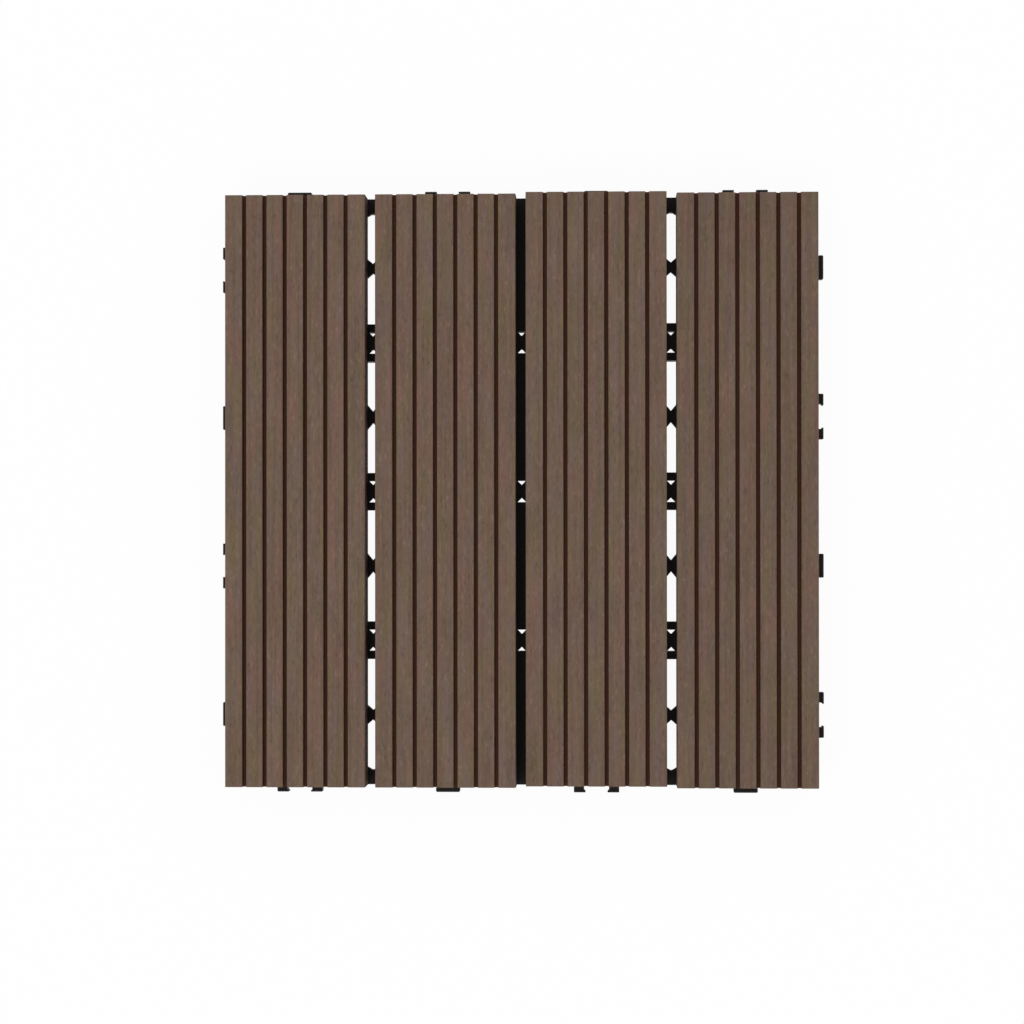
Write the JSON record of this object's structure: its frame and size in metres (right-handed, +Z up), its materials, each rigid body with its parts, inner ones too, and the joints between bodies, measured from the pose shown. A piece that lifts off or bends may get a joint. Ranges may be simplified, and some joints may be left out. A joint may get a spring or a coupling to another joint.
{
  "type": "interlocking deck tile",
  "caption": "Square outdoor floor tile: grooved wood-plastic slats screwed to a moulded plastic grid base with drop-in dovetail tabs and sockets along its sides.",
  "frame": {"origin": "the tile's centre, on the ground under its feet", "axes": "+X to the right across the slats, +Y along the slats and grooves, +Z up from the ground to the walking face"},
  "size_m": [0.3034, 0.3034, 0.022],
  "materials": {
    "base_plastic": "moulded black polypropylene, satin",
    "composite_slat": "grey-brown wood-plastic composite, brushed along its length",
    "screw_steel": "zinc plated"
  },
  "bodies": {
    "root": {"base_grid": "base_plastic", "slat_1": "composite_slat", "slat_2": "composite_slat", "slat_3": "composite_slat", "slat_4": "composite_slat", "slat_screws": "screw_steel"}
  },
  "joints": []
}
